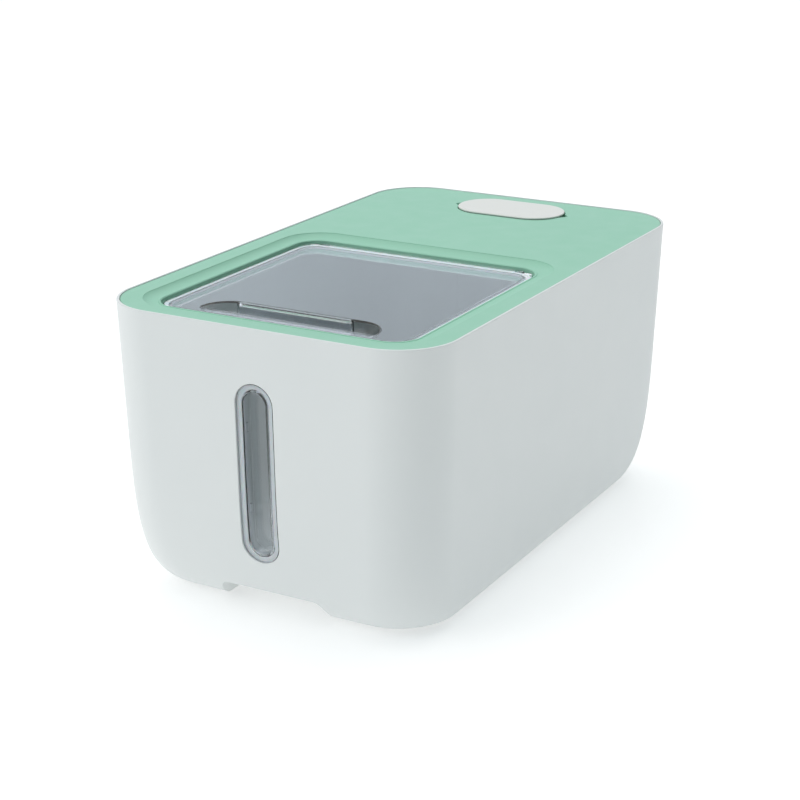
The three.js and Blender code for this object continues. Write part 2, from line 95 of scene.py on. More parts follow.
ARCH_TOP = 17.5
ARCH_HALF_TOP = 32
ARCH_HALF_FLOOR = 47

WINDOW_LOW = LENS_LOW.z
WINDOW_HIGH = LENS_HIGH.z
WINDOW_HALF = LENS_HIGH.x + GAP
WINDOW_WALL_HALF = 9.7
WINDOW_WALL = 1.6
WINDOW_DEPTH = 10.3
REBATE_DEPTH = 3.5
BOSS_DEPTH = 5.4
HOOK_HEIGHTS = (76.5, 132)

COVER_TOP = COVER_HIGH.z
COVER_PLATE = 2.5
SKIRT_WALL = 2.6
SKIRT_INSET = 7.1
RECESS_FLOOR = 196.6
BEAD_TOP = 197.1
NECK_LEDGE_TOP = 190.9
NECK_BOTTOM = 187.6
COVE_WIDTH = 9
COVE_STEPS = 10

LID_TOP = 195.2
LID_PLATE = 1.8
DISH_Z = 187.5
BAR_TOP = LID_HIGH.z
HINGE_Y = 15
HINGE_Z = 193.4
PIN_RADIUS = 1
NOTCH_FROM = 81.2
NOTCH_FRONT = 10.6
GASKET_NOTCH_FROM = 74.7
GASKET_NOTCH_FRONT = 13

CAP_MIDDLE = (CAP_LOW.y + CAP_HIGH.y) / 2
CAP_HALF_X = CAP_HIGH.x
CAP_HALF_Y = CAP_HIGH.y - CAP_MIDDLE
CAP_TOP = CAP_HIGH.z
CAP_BOTTOM = 199.6
CAP_RECESS_TOP = 200.2
POCKET_FLOOR = 195.6
FLANGE_LOW = 197.4
FLANGE_HIGH = 198.6
FLANGE_WIDTH = 3.5
NOTCH_TIP = 47.8
POCKET_GAP = 0.4
BASKET_WALL = 1.5
BASKET_ROUND = 1.5
SLOT_PITCH = 6.4
SLOT_HALF = 1.4
SLOTS_EACH_SIDE = 3
BASKET_SEAL_WIDTH = 2.7
CROSS_RIBS = (52, 82, 112)
UNDER_RIB_LOW = 191.5
LID_WALL = 1.8
LID_BOSS_FROM = 75
SIDES = (-1, 1)


# ------------------------------------------------------------------ outlines


def form(half, front, back, radius, front_radius=None):
    """A rounded rectangle in plan. The front corners may have a radius of their own."""
    return {
        "half": half,
        "front": front,
        "back": back,
        "radius": radius,
        "front_radius": radius if front_radius is None else front_radius,
    }


def inset(shape, distance):
    """The same rounded rectangle drawn in by a distance all round."""
    return form(
        shape["half"] - distance,
        shape["front"] + distance,
        shape["back"] - distance,
        max(shape["radius"] - distance, 0.4),
        max(shape["front_radius"] - distance, 0.4),
    )


def outline(shape, z, steps=CORNER_STEPS):
    """Points of a rounded rectangle at one height, counter-clockwise from above."""
    half, radius, front_radius = shape["half"], shape["radius"], shape["front_radius"]
    front, back = shape["front"], shape["back"]
    corners = (
        (half - front_radius, front + front_radius, front_radius, -90),
        (half - radius, back - radius, radius, 0),
        (radius - half, back - radius, radius, 90),
        (front_radius - half, front + front_radius, front_radius, 180),
    )
    points = []
    for x, y, r, start in corners:
        for i in range(steps + 1):
            angle = math.radians(start + 90 * i / steps)
            points.append((x + r * math.cos(angle), y + r * math.sin(angle), z))
    return points


def stack(shape, section, steps=CORNER_STEPS):
    """Outlines of a rounded rectangle for each (inset, height) of a section."""
    return [outline(inset(shape, distance), z, steps) for distance, z in section]


def arc(centre_d, centre_z, radius, start, end, steps=EDGE_STEPS):
    """Points of a circular arc in a section, angles in degrees."""
    points = []
    for i in range(steps + 1):
        angle = math.radians(start + (end - start) * i / steps)
        points.append((centre_d + radius * math.cos(angle), centre_z + radius * math.sin(angle)))
    return points


def pull(z):
    """How far the lower rounding has drawn the wall in at a height, from 0 to 1."""
    if z >= ROUND_HEIGHT:
        return 0.0
    s = 1 - z / ROUND_HEIGHT
    return 1 - (1 - s**ROUND_POWER) ** (1 / ROUND_POWER)


def tub_form(z, drawn_in, drawn=None):
    """Plan of the tub at a height. `drawn` replaces the lower rounding's own amount."""
    draft = DRAFT * (1 - z / HEIGHT)
    amount = pull(z) if drawn is None else drawn
    end = HALF_LENGTH - draft - ROUND_END * amount - drawn_in
    half = HALF_WIDTH - draft - ROUND_SIDE * amount - drawn_in
    return form(half, -end, end, CORNER_RADIUS - drawn_in)


def round_heights(bottom, steps):
    """Heights of the lower rounding, close together where it is tight, with its amounts."""
    heights = []
    for i in range(steps + 1):
        angle = math.pi / 2 * (1 - i / steps)
        s = math.sin(angle) ** (2 / ROUND_POWER)
        amount = 1 - max(math.cos(angle), 0.0) ** (2 / ROUND_POWER)
        heights.append((bottom + (ROUND_HEIGHT - bottom) * (1 - s), amount))
    return heights


# ------------------------------------------------------------------ meshes


def mesh_object(name, points, faces):
    mesh = bpy.data.meshes.new(name)
    mesh.from_pydata([Vector(point) * MM for point in points], [], faces)
    mesh.validate()
    piece = bpy.data.objects.new(name, mesh)
    bpy.context.scene.collection.objects.link(piece)
    fix = bmesh.new()
    fix.from_mesh(mesh)
    bmesh.ops.recalc_face_normals(fix, faces=fix.faces)
    fix.to_mesh(mesh)
    fix.free()
    return piece


def strips(count, first):
    """Faces across an outline that is the same on the left and on the right."""
    faces = [(first, first + 1, first + count - 1)]
    for i in range(1, count // 2 - 1):
        faces.append((first + i, first + i + 1, first + count - i - 1, first + count - i))
    middle = count // 2
    faces.append((first + middle - 1, first + middle, first + middle + 1))
    return faces


def loft(name, levels, ring=False, across=False):
    """A closed solid through outlines with equal numbers of points."""
    count = len(levels[0])
    points = [point for level in levels for point in level]
    last = len(levels) - 1
    pairs = [(i, i + 1) for i in range(last)]
    if ring:
        pairs.append((last, 0))
    faces = []
    for low, high in pairs:
        for i in range(count):
            j = (i + 1) % count
            faces.append((low * count + i, low * count + j, high * count + j, high * count + i))
    if not ring:
        if across:
            faces.extend(strips(count, 0))
            faces.extend(strips(count, last * count))
        else:
            faces.append(tuple(range(count)))
            faces.append(tuple(last * count + i for i in range(count)))
    return mesh_object(name, points, faces)


def apply_modifiers(piece):
    graph = bpy.context.evaluated_depsgraph_get()
    mesh = bpy.data.meshes.new_from_object(piece.evaluated_get(graph))
    piece.modifiers.clear()
    old = piece.data
    piece.data = mesh
    mesh.name = piece.name
    bpy.data.meshes.remove(old)


def combine(piece, operation, others):
    """Joins, cuts or intersects a piece with others, which are used up."""
    for other in others:
        modifier = piece.modifiers.new("combine", "BOOLEAN")
        modifier.operation = operation
        modifier.solver = "MANIFOLD"
        modifier.object = other
        apply_modifiers(piece)
        mesh = other.data
        bpy.data.objects.remove(other)
        bpy.data.meshes.remove(mesh)
    return piece


def join(piece, *others):
    return combine(piece, "UNION", others)


def cut(piece, *others):
    return combine(piece, "DIFFERENCE", others)


def keep(piece, *others):
    return combine(piece, "INTERSECT", others)


def block(name, x0, x1, y0, y1, z0, z1):
    corners = [(x, y, z) for z in (z0, z1) for x, y in ((x0, y0), (x1, y0), (x1, y1), (x0, y1))]
    faces = [(0, 3, 2, 1), (4, 5, 6, 7), (0, 1, 5, 4), (1, 2, 6, 5), (2, 3, 7, 6), (3, 0, 4, 7)]
    return mesh_object(name, corners, faces)


def along_y(name, profile, front, back):
    """A prism along Y, from points given as (x, z)."""
    levels = [[(x, y, z) for x, z in profile] for y in (front, back)]
    return loft(name, levels)


def finish_surface(piece, sharp=32):
    """Smooth shading that keeps flat faces flat and real edges sharp."""
    for polygon in piece.data.polygons:
        polygon.use_smooth = True
    piece.data.set_sharp_from_angle(angle=math.radians(sharp))
    modifier = piece.modifiers.new("flat faces", "WEIGHTED_NORMAL")
    modifier.keep_sharp = True
    modifier.weight = 80
    return piece


def settle(piece, body, slot, material, *nodes, sharp=32):
    """Gives a finished piece its shading, material and body, and hides the CAD nodes it replaces."""
    finish_surface(piece, sharp)
    piece.data.materials.clear()
    piece.data.materials.append(material)
    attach(piece, body)
    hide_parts(*nodes)
    return piece


# ------------------------------------------------------------------ materials


def socket_set(shader, values):
    for name, value in values.items():
        shader.inputs[name].default_value = value


def new_material(name):
    material = bpy.data.materials.new(name)
    material.use_nodes = True
    nodes = material.node_tree.nodes
    return material, nodes, material.node_tree.links, nodes["Principled BSDF"]


def noise_node(nodes, links, coords, scale, detail):
    noise = nodes.new("ShaderNodeTexNoise")
    noise.inputs["Scale"].default_value = scale
    noise.inputs["Detail"].default_value = detail
    links.new(coords.outputs["Object"], noise.inputs["Vector"])
    return noise


def spread(nodes, links, source, low, high):
    """Maps a noise value to a range."""
    ramp = nodes.new("ShaderNodeMapRange")
    ramp.inputs["From Min"].default_value = 0.3
    ramp.inputs["From Max"].default_value = 0.7
    ramp.inputs["To Min"].default_value = low
    ramp.inputs["To Max"].default_value = high
    links.new(source, ramp.inputs["Value"])
    return ramp.outputs["Result"]


def moulded(name, colour, shade, roughness, grain=0.05, grain_scale=2600, values=None):
    """Satin moulded plastic: faint flow marks in the colour, fine grain in gloss and relief."""
    material, nodes, links, shader = new_material(name)
    coords = nodes.new("ShaderNodeTexCoord")
    flow = noise_node(nodes, links, coords, 9, 3)
    fine = noise_node(nodes, links, coords, grain_scale, 2)
    scuff = noise_node(nodes, links, coords, 60, 5)
    mix = nodes.new("ShaderNodeMix")
    mix.data_type = "RGBA"
    mix.inputs["A"].default_value = (*colour, 1)
    mix.inputs["B"].default_value = (*shade, 1)
    links.new(spread(nodes, links, flow.outputs["Fac"], 0, 1), mix.inputs["Factor"])
    links.new(mix.outputs["Result"], shader.inputs["Base Color"])
    rough = spread(nodes, links, scuff.outputs["Fac"], roughness - 0.05, roughness + 0.06)
    links.new(rough, shader.inputs["Roughness"])
    bump = nodes.new("ShaderNodeBump")
    bump.inputs["Strength"].default_value = grain
    bump.inputs["Distance"].default_value = 0.00012
    links.new(fine.outputs["Fac"], bump.inputs["Height"])
    links.new(bump.outputs["Normal"], shader.inputs["Normal"])
    socket_set(shader, {"IOR": 1.49, **(values or {})})
    return material


def clear_plastic(name, tint, shadow_tint, roughness=0.02):
    """Clear moulded plastic that lets lamps through, with faint ripples from the mould."""
    material, nodes, links, shader = new_material(name)
    coords = nodes.new("ShaderNodeTexCoord")
    ripple = noise_node(nodes, links, coords, 45, 2)
    scuff = noise_node(nodes, links, coords, 220, 6)
    bump = nodes.new("ShaderNodeBump")
    bump.inputs["Strength"].default_value = 0.06
    bump.inputs["Distance"].default_value = 0.0004
    links.new(ripple.outputs["Fac"], bump.inputs["Height"])
    links.new(bump.outputs["Normal"], shader.inputs["Normal"])
    rough = spread(nodes, links, scuff.outputs["Fac"], roughness, roughness + 0.04)
    links.new(rough, shader.inputs["Roughness"])
    socket_set(shader, {"Base Color": (*tint, 1), "Transmission Weight": 1.0, "IOR": 1.5})
    output = nodes["Material Output"]
    through = nodes.new("ShaderNodeBsdfTransparent")
    through.inputs["Color"].default_value = (*shadow_tint, 1)
    mix = nodes.new("ShaderNodeMixShader")
    path = nodes.new("ShaderNodeLightPath")
    links.new(path.outputs["Is Shadow Ray"], mix.inputs["Fac"])
    links.new(shader.outputs["BSDF"], mix.inputs[1])
    links.new(through.outputs["BSDF"], mix.inputs[2])
    links.new(mix.outputs["Shader"], output.inputs["Surface"])
    return material


def silicone(name, colour):
    """Soft translucent rubber with a fine dull skin."""
    values = {"Subsurface Weight": 0.25, "Subsurface Scale": 0.002, "Specular IOR Level": 0.35}
    return moulded(name, colour, tuple(c * 0.96 for c in colour), 0.55, 0.15, 1800, values)


def steel(name):
    """Drawn steel with fine lines along the pin."""
    material, nodes, links, shader = new_material(name)
    coords = nodes.new("ShaderNodeTexCoord")
    mapping = nodes.new("ShaderNodeMapping")
    mapping.inputs["Scale"].default_value = (0.05, 1, 1)
    links.new(coords.outputs["Object"], mapping.inputs["Vector"])
    lines = nodes.new("ShaderNodeTexNoise")
    lines.inputs["Scale"].default_value = 4000
    links.new(mapping.outputs["Vector"], lines.inputs["Vector"])
    links.new(spread(nodes, links, lines.outputs["Fac"], 0.22, 0.4), shader.inputs["Roughness"])
    socket_set(shader, {"Base Color": (0.62, 0.63, 0.65, 1), "Metallic": 1.0})
    return material


WHITE = moulded("white plastic", (0.80, 0.83, 0.825), (0.785, 0.818, 0.815), 0.42)
MINT = moulded("mint plastic", (0.31, 0.62, 0.465), (0.30, 0.605, 0.455), 0.46)
PAD_WHITE = moulded("cap plastic", (0.78, 0.785, 0.755), (0.765, 0.77, 0.745), 0.48)
BASKET_WHITE = moulded("basket plastic", (0.78, 0.80, 0.79), (0.76, 0.785, 0.775), 0.5)
CLEAR = clear_plastic("clear plastic", (0.95, 0.965, 1.0), (0.98, 0.99, 1.0))
SILICONE = silicone("white silicone", (0.80, 0.84, 0.82))
RUBBER = moulded("foot rubber", (0.30, 0.31, 0.31), (0.27, 0.28, 0.28), 0.8, 0.3, 1500)
STEEL = steel("pin steel")
PAPER = moulded("sachet paper", (0.82, 0.81, 0.77), (0.78, 0.77, 0.73), 0.85, 0.5, 900)


# ------------------------------------------------------------------ tub


def arch_profile(widen, steps=14):
    """Cross-section of the arch between the feet, with S-shaped flanks, as (x, z)."""
    top = ARCH_TOP + widen
    inner = ARCH_HALF_TOP + widen
    outer = ARCH_HALF_FLOOR + widen
    span = outer - inner
    right = []
    for i in range(steps + 1):
        t = i / steps
        a, b, c, d = (1 - t) ** 3, 3 * t * (1 - t) ** 2, 3 * t * t * (1 - t), t**3
        x = a * inner + b * (inner + 0.75 * span) + c * (inner + 0.35 * span) + d * outer
        right.append((x, (a + b) * top))
    right.append((outer, -5))
    left = [(-x, z) for x, z in reversed(right)]
    return left + right


def front_wall(z):
    """Y of the tub's outer face on the middle of the front wall."""
    return tub_form(z, 0)["front"]


def window_level(half, depth, round_steps=16, side_steps=26):
    """Window-shaped outline on the front wall, at a depth under its outer face."""
    low = WINDOW_LOW + WINDOW_HALF - GAP
    high = WINDOW_HIGH - WINDOW_HALF + GAP
    right = [(math.radians(-90 + 90 * i / round_steps), low) for i in range(round_steps)]
    right += [(0.0, low + (high - low) * i / side_steps) for i in range(side_steps)]
    right += [(math.radians(90 * i / round_steps), high) for i in range(round_steps + 1)]
    points = [(half * math.cos(a), centre + half * math.sin(a)) for a, centre in right]
    points[0] = (0.0, points[0][1])
    points[-1] = (0.0, points[-1][1])
    points += [(-x, z) for x, z in reversed(points[1:-1])]
    return [(x, front_wall(z) + depth, z) for x, z in points]


def window_loft(name, section, ring=False):
    """A solid through window outlines, from (half width, depth) pairs."""
    levels = [window_level(half, depth) for half, depth in section]
    return loft(name, levels, ring, across=not ring)


def make_tub():
    outer = []
    heights = [pair for pair in round_heights(0, 44) if pair[0] > SOLE + 0.15]
    outer.append(outline(tub_form(SOLE, 0), SOLE))
    outer += [outline(tub_form(z, 0, amount), z) for z, amount in heights]
    outer += [outline(tub_form(z, 0), z) for z in (140, 160, 180, 192)]
    rim = arc(RIM_ROUND, HEIGHT - RIM_ROUND, RIM_ROUND, 180, 90)
    rim += arc(RIM_WALL - 0.5, HEIGHT - 0.5, 0.5, 90, 0)
    section = rim + [(RIM_WALL, LEDGE_TOP), (LEDGE_INSET - 0.5, LEDGE_TOP)]
    section += [(LEDGE_INSET, LEDGE_TOP - 0.5), (LEDGE_INSET, LEDGE_BOTTOM), (WALL, LEDGE_TAPER)]
    inner = stack(tub_form(HEIGHT, 0), section)
    inner += [outline(tub_form(z, WALL), z) for z in (180, 160, 140)]
    floor = FLOOR + SOLE
    inner += [outline(tub_form(z, WALL, amount), z) for z, amount in reversed(round_heights(floor, 30))]
    tub = loft("tub", outer + inner)

    solid = loft("outer", outer[:-1] + [outline(tub_form(180, 0), 180)])
    hump = keep(along_y("hump", arch_profile(WALL), -HALF_LENGTH, HALF_LENGTH), solid)
    tub = cut(join(tub, hump), along_y("arch", arch_profile(0), -HALF_LENGTH, HALF_LENGTH))

    for x in RIB_POSITIONS:
        tub = join(tub, wall_rib(x))
    boss = window_loft("boss", [(WINDOW_HALF + 2.6, 1), (WINDOW_HALF + 2.6, BOSS_DEPTH - 0.6),
                                (WINDOW_HALF + 2.0, BOSS_DEPTH)])
    lip = 0.7
    flare = []
    for degrees in (0, 18, 36, 54, 72, 90):
        angle = math.radians(90 - degrees)
        flare.append((WINDOW_HALF + lip - lip * math.cos(angle), lip - lip * math.sin(angle)))
    rebate_section = [(WINDOW_HALF + lip, -4)] + flare + [(WINDOW_HALF, REBATE_DEPTH)]
    rebate = window_loft("rebate", rebate_section)
    hole = window_loft("hole", [(WINDOW_WALL_HALF + 0.5, -4), (WINDOW_WALL_HALF + 0.5, 20)])
    tub = cut(join(tub, boss), rebate, hole)
    pockets = [disc_stack("pocket", x, y, [(9.3, -2), (9.3, 2)]) for x, y in pad_spots()]
    return cut(tub, *pockets)


def wall_rib(x):
    """Vertical rib on the inner face of the rear wall, tapering out at both ends."""
    levels = []
    for z, proud in ((34, 0.05), (46, 1.1), (100, 1.1), (172, 1.1), (184, 0.05)):
        back = tub_form(z, WALL)["back"]
        levels.append([
            (x - 0.9, back + 1, z), (x + 0.9, back + 1, z), (x + 0.8, back - proud + 0.3, z),
            (x + 0.4, back - proud, z), (x - 0.4, back - proud, z), (x - 0.8, back - proud + 0.3, z),
        ])
    return loft("rib", levels)


def disc_stack(name, x, y, section, steps=48):
    """A round solid through (radius, height) pairs."""
    levels = []
    for radius, z in section:
        turns = [2 * math.pi * i / steps for i in range(steps)]
        levels.append([(x + radius * math.cos(a), y + radius * math.sin(a), z) for a in turns])
    return loft(name, levels)


def pad_spots():
    spots = []
    for number in (1, 2, 3, 4):
        low, high = cad_mm(f"foot_pad_{number}")
        spots.append(((low.x + high.x) / 2, (low.y + high.y) / 2))
    return spots


def make_foot_pad(number):
    """Non-slip pad with two shallow grooves in its sole."""
    low, high = cad_mm(f"foot_pad_{number}")
    x, y = pad_spots()[number - 1]
    radius = (high.x - low.x) / 2
    section = [(radius, high.z), (radius, 0.35), (radius - 0.35, 0)]
    for groove in (6.4, 3.4):
        section += [(groove + 0.5, 0), (groove + 0.25, 0.35), (groove - 0.25, 0.35), (groove - 0.5, 0)]
    return disc_stack(f"foot_pad_ring_{number}", x, y, section)


def make_lens():
    wall, inner = WINDOW_WALL_HALF, WINDOW_WALL_HALF - WINDOW_WALL
    edge = WINDOW_HALF - GAP
    pane = WINDOW_DEPTH - 1.8
    section = [(inner - 0.5, pane), (inner, pane - 0.5), (inner + 0.15, 1.1)]
    section += [(inner + 0.5, 0.5), (inner + 1.1, 0.3), (edge - 0.5, 0.3), (edge - 0.15, 0.45), (edge, 0.8)]
    section += [(edge, 2.1), (wall, 2.1), (wall, WINDOW_DEPTH - 0.5), (wall - 0.5, WINDOW_DEPTH)]
    lens = window_loft("lens", section)
    depth_low, depth_high = BOSS_DEPTH + GAP, BOSS_DEPTH + 2.3
    for z in HOOK_HEIGHTS:
        for side in SIDES:
            lens = join(lens, hook(side, z, depth_low, depth_high))
    return lens


def hook(side, z, depth_low, depth_high):
    """Wedge-shaped snap hook on the side wall of the window tray."""
    root, tip = side * (WINDOW_WALL_HALF - 0.6), side * (WINDOW_WALL_HALF + 1.5)
    levels = []
    for height in (z - 3, z + 3):
        y = front_wall(height)
        levels.append([(root, y + depth_low, height), (tip, y + depth_low, height),
                       (tip, y + depth_low + 0.5, height), (root, y + depth_high, height)])
    return loft("hook", levels)


def make_window_seal():
    inner, outer = WINDOW_WALL_HALF + GAP, WINDOW_HALF - GAP
    low, high = 2.4, REBATE_DEPTH - GAP
    section = [(inner, low + 0.2), (inner + 0.2, low), (outer - 0.2, low), (outer, low + 0.2)]
    section += [(outer, high - 0.2), (outer - 0.2, high), (inner + 0.2, high), (inner, high - 0.2)]
    return window_loft("window_ring", section, ring=True)


# ------------------------------------------------------------------ cover

LID_EDGE = form(LID_HIGH.x, LID_LOW.y, LID_HIGH.y, 16.2)
NECK = form(94.6, -178.6, 17.8, 17.6)
MOUTH = form(90, -174, 9.6, 13)
RECESS_EDGE = form(106, -190, 32.5, 29)


def cap_form(half_x, half_y):
    return form(half_x, CAP_MIDDLE - half_y, CAP_MIDDLE + half_y, half_y - 0.01)


def lens_outline(tip, up, z, steps=40):
    """Outline of two shallow arcs that meet in a point at each end."""
    radius = (tip**2 + up**2) / (2 * up)
    sweep = math.asin(tip / radius)
    points = []
    for side in (1, -1):
        for i in range(steps):
            angle = sweep - 2 * sweep * i / steps
            height = radius * math.cos(angle) - (radius - up)
            points.append((side * radius * math.sin(angle), CAP_MIDDLE + side * height, z))
    return points


def prism(name, shape, low, high):
    return loft(name, [outline(shape, low), outline(shape, high)])


def ring_prism(name, outer, inner, low, high, edge=0.2):
    """A ring of square section with small chamfers, between two outlines."""
    levels = [
        outline(inset(outer, edge), low), outline(outer, low + edge),
        outline(outer, high - edge), outline(inset(outer, edge), high),
        outline(inset(inner, -edge), high), outline(inner, high - edge),
        outline(inner, low + edge), outline(inset(inner, -edge), low),
    ]
    return loft(name, levels, ring=True)


def make_cover():
    plate_low = COVER_TOP - COVER_PLATE
    plate_form = form(COVER_HIGH.x, COVER_LOW.y, COVER_HIGH.y, CORNER_RADIUS - 2.4)
    edge = arc(0.5, COVER_TOP - 0.5, 0.5, 180, 90)
    cover = loft("cover_shell", stack(plate_form, [(0.3, plate_low), (0, plate_low + 0.3)] + edge))
    skirt_form = inset(form(HALF_WIDTH, -HALF_LENGTH, HALF_LENGTH, CORNER_RADIUS), SKIRT_INSET)
    skirt = ring_prism("skirt", skirt_form, inset(skirt_form, SKIRT_WALL), COVER_LOW.z, plate_low + 0.5, 0.4)
    groove = ring_prism("groove", inset(skirt_form, -1), inset(skirt_form, 1.2), 193.1, 196.1, 0.05)
    tray = prism("tray", inset(RECESS_EDGE, -2.4), RECESS_FLOOR - 2.5, plate_low + 0.5)
    neck = prism("neck", inset(NECK, -2.4), NECK_BOTTOM, RECESS_FLOOR - 1)
    pocket_form = cap_form(CAP_HALF_X + 6.5, CAP_HALF_Y + 2.6)
    pocket_tray = prism("pocket_tray", pocket_form, POCKET_FLOOR - 2.3, plate_low + 0.5)
    well_x = BASKET_HIGH.x - FLANGE_WIDTH + SKIRT_WALL
    well_y = BASKET_HIGH.y - CAP_MIDDLE - FLANGE_WIDTH + SKIRT_WALL
    well_form = cap_form(well_x, well_y)
    well = prism("well", well_form, COVER_LOW.z + 2, POCKET_FLOOR - 2)
    ribs = []
    for y in CROSS_RIBS:
        ribs.append(block("cross_rib", -114, 114, y - 0.9, y + 0.9, UNDER_RIB_LOW, plate_low + 0.5))
    rib_back = CAP_MIDDLE - CAP_HALF_Y
    ribs.append(block("long_rib", -0.9, 0.9, 30, rib_back, UNDER_RIB_LOW, plate_low + 0.5))
    cover = join(cover, skirt, tray, neck, pocket_tray, well, *ribs)

    recess = loft("recess", stack(RECESS_EDGE, cove_section()))
    cover = cut(cover, recess, groove)

    bead_middle = inset(NECK, -1.1)
    bead = arc(0, BEAD_TOP - 0.8, 0.8, 180, 0, 8)
    bead_levels = stack(bead_middle, bead + [(0.8, RECESS_FLOOR - 1), (-0.8, RECESS_FLOOR - 1)])
    bosses = [pin_boss(side) for side in SIDES]
    cover = join(cover, loft("bead", bead_levels, ring=True), *bosses)

    neck_hole = prism("neck_hole", NECK, NECK_LEDGE_TOP, COVER_TOP + 1)
    mouth = loft("mouth", stack(MOUTH, [(0, NECK_BOTTOM - 5), (0, NECK_LEDGE_TOP - 0.4),
                                        (-0.4, NECK_LEDGE_TOP), (-0.4, COVER_TOP)]))
    pin_holes = [pin_solid("pin_hole", side, PIN_RADIUS + 0.25, 1, 0.5) for side in SIDES]
    pocket_round = 0.5
    pocket_edge = arc(-pocket_round, COVER_TOP - pocket_round, pocket_round, 0, 90)
    pocket_section = [(0, POCKET_FLOOR)] + pocket_edge + [(-pocket_round, COVER_TOP + 1)]
    pocket = loft("pocket", stack(cap_form(CAP_HALF_X + POCKET_GAP, CAP_HALF_Y + POCKET_GAP), pocket_section))
    notch_section = [(1.2, COVER_TOP - 2.6), (0.4, COVER_TOP - 2)]
    notch_section += [(0, COVER_TOP - 0.4), (-0.4, COVER_TOP + 0.1)]
    notch_levels = []
    for distance, z in notch_section:
        notch_levels.append(lens_outline(NOTCH_TIP - distance, CAP_HALF_Y - 0.6 - distance, z))
    notches = loft("notches", notch_levels)
    hole_form = cap_form(BASKET_HIGH.x - 3, BASKET_HIGH.y - CAP_MIDDLE - 3)
    basket_hole = prism("basket_hole", hole_form, 150, COVER_TOP)
    return cut(cover, neck_hole, mouth, *pin_holes, pocket, notches, basket_hole)


def cove_section():
    """Section of the recess: a hollow curve from its floor up to a softened edge."""
    edge_round = 0.4
    height = COVER_TOP - RECESS_FLOOR
    section = []
    for i in range(COVE_STEPS):
        t = i / COVE_STEPS
        section.append((COVE_WIDTH * (1 - t), RECESS_FLOOR + (height - edge_round) * t**3))
    section += arc(-edge_round, COVER_TOP - edge_round, edge_round, 0, 90)
    section.append((-edge_round, COVER_TOP + 2))
    return section


def pin_span(side, inner_extra, outer_extra):
    name = "hinge_pin_right" if side > 0 else "hinge_pin_left"
    low, high = cad_mm(name)
    near = inner_extra if side > 0 else outer_extra
    far = outer_extra if side > 0 else inner_extra
    return low.x - near, high.x + far


def pin_solid(name, side, radius, inner_extra=0.0, outer_extra=0.0, chamfer=0.0, steps=32):
    """A round bar along X on the lid's hinge axis."""
    x0, x1 = pin_span(side, inner_extra, outer_extra)
    section = [(x0, radius - chamfer), (x0 + chamfer, radius), (x1 - chamfer, radius), (x1, radius - chamfer)]
    if chamfer == 0:
        section = [(x0, radius), (x1, radius)]
    levels = []
    for x, r in section:
        turns = [2 * math.pi * i / steps for i in range(steps)]
        levels.append([(x, HINGE_Y + r * math.cos(a), HINGE_Z + r * math.sin(a)) for a in turns])
    return loft(name, levels)


def pin_boss(side):
    """Thickening of the cover's neck that carries a hinge pin."""
    x0, x1 = pin_span(side, -6.5, 2.5)
    return block("pin_boss", x0, x1, HINGE_Y - 3, HINGE_Y + 3, NECK_BOTTOM + 1.4, RECESS_FLOOR - 0.6)


def make_cover_seal():
    """Soft ring with two lips, in the groove of the cover's skirt."""
    rim = form(HALF_WIDTH, -HALF_LENGTH, HALF_LENGTH, CORNER_RADIUS)
    outer, back = LEDGE_INSET + GAP, SKIRT_INSET + 1.2 - GAP
    low, high = cad_mm("cover_seal")
    middle = (low.z + high.z) / 2
    section = [(back, low.z), (back, high.z), (outer + 0.6, high.z), (outer, high.z - 0.35)]
    section += [(outer + 0.5, middle + 0.2), (outer + 0.5, middle - 0.2)]
    section += [(outer, low.z + 0.35), (outer + 0.6, low.z)]
    return loft("cover_ring", stack(rim, section), ring=True)


# ------------------------------------------------------------------ clear lid

LID_SKIRT = form(89.3, -173.3, 8.9, 12.3)
LID_SKIRT_BOTTOM = 188.4
GASKET = form(92.8, -176.8, 15.4, 17)
GASKET_HOLE = form(90.1, -174.1, 10.3, 13.1)
DISH_TOP = form(65, -166, -143, 19.5, 3)
BAR = form(43, -157, -150, 3.4)


def make_lid():
    under = LID_TOP - LID_PLATE
    top_edge = arc(0.7, LID_TOP - 0.7, 0.7, 180, 90)
    plate = loft("lid_pane", stack(LID_EDGE, [(0.3, under), (0, under + 0.3)] + top_edge))
    skirt = ring_prism("skirt", LID_SKIRT, inset(LID_SKIRT, LID_WALL), LID_SKIRT_BOTTOM, under + 0.5, 0.5)
    dish_outer = loft("dish_outer", dish_levels(-LID_WALL, DISH_Z - LID_WALL, LID_TOP - 0.5, 0))
    dish_inner = loft("dish_inner", dish_levels(0, DISH_Z, LID_TOP + 0.05, 0.9))
    bar_round = 1.6
    bar_section = [(-1.2, DISH_Z - 1), (-1.2, DISH_Z), (-0.7, DISH_Z + 0.25)]
    bar_section += [(-0.35, DISH_Z + 0.8), (-0.2, DISH_Z + 1.6)]
    bar_section += arc(bar_round, BAR_TOP - bar_round, bar_round, 180, 90, 8)
    bar = loft("bar", stack(BAR, bar_section))
    hollow_section = [(1.3, DISH_Z - 5), (1.5, DISH_Z), (1.8, BAR_TOP - 2.6), (2.2, BAR_TOP - 1.9)]
    hollow = loft("hollow", stack(BAR, hollow_section))
    bosses = [lid_boss(side) for side in SIDES]
    notches = [corner_block(side, NOTCH_FROM, NOTCH_FRONT) for side in SIDES]
    holes = [pin_solid("hole", side, PIN_RADIUS + 0.05, GAP, 4) for side in SIDES]
    lid = cut(join(plate, skirt, dish_outer, *bosses), dish_inner)
    return cut(join(lid, bar), hollow, *holes, *notches)


